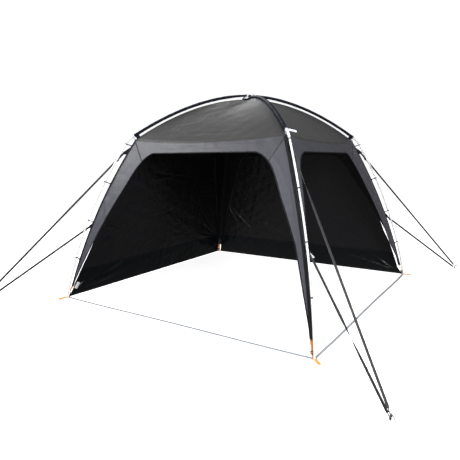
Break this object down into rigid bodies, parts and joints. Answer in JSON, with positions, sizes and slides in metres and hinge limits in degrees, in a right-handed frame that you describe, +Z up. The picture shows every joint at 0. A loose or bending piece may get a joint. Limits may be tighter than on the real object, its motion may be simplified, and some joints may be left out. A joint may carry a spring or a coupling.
{
  "type": "camp shelter",
  "caption": "Free-standing square camp shelter: crossed roof poles on bowed legs, hanging cloth canopy, two open sides, two cloth walls, guys and pegs.",
  "frame": {"origin": "on the ground, in the middle of the square of the four feet", "axes": "+Z up; the two open sides face -Y and +X, the two cloth walls stand on the +Y and -X sides, and the feet are at the corners of the square"},
  "size_m": [4.4166, 4.4166, 2.2638],
  "materials": {
    "white_steel": "white powder coat on steel tube",
    "navy_cloth": "matt navy pole sleeve",
    "grey_cloth": "dark grey coated canopy cloth, slight sheen",
    "eave_cloth": "mid grey coated canopy cloth",
    "black_cloth": "black coated wall cloth",
    "black_webbing": "flat black webbing",
    "pale_webbing": "pale blue-grey webbing",
    "orange_webbing": "orange webbing",
    "peg_steel": "bare steel"
  },
  "bodies": {
    "root": {"leg_pole_front": "white_steel", "leg_pole_left": "white_steel", "leg_pole_right": "white_steel", "leg_pole_back": "white_steel", "elbow_front": "white_steel", "elbow_left": "white_steel", "elbow_right": "white_steel", "elbow_back": "white_steel", "roof_arch_left_right": "navy_cloth", "roof_arch_front_back": "navy_cloth", "apex_tie": "black_webbing", "hub_loop_front": "pale_webbing", "hub_loop_left": "pale_webbing", "hub_loop_right": "pale_webbing", "hub_loop_back": "pale_webbing", "roof_panel_front_left": "grey_cloth", "roof_panel_front_right": "grey_cloth", "roof_panel_back_right": "grey_cloth", "roof_panel_back_left": "grey_cloth", "eave_band_front_left": "eave_cloth", "eave_band_front_right": "eave_cloth", "eave_band_back_right": "eave_cloth", "eave_band_back_left": "eave_cloth", "leg_panel_front": "grey_cloth", "leg_panel_left": "grey_cloth", "leg_panel_right": "grey_cloth", "leg_panel_back": "grey_cloth", "wall_back_right": "black_cloth", "wall_back_left": "black_cloth", "guy_upper_front": "black_webbing", "guy_upper_left": "black_webbing", "guy_upper_right": "black_webbing", "guy_upper_back": "black_webbing", "guy_lower_front": "black_webbing", "guy_lower_left": "black_webbing", "guy_lower_right": "black_webbing", "guy_lower_back": "black_webbing", "guy_peg_front": "peg_steel", "guy_peg_left": "peg_steel", "guy_peg_right": "peg_steel", "guy_peg_back": "peg_steel", "foot_anchor_front": "orange_webbing", "foot_anchor_left": "orange_webbing", "foot_anchor_right": "orange_webbing", "foot_anchor_back": "orange_webbing", "ground_strap_front_left": "pale_webbing", "ground_strap_front_right": "pale_webbing"}
  },
  "joints": []
}
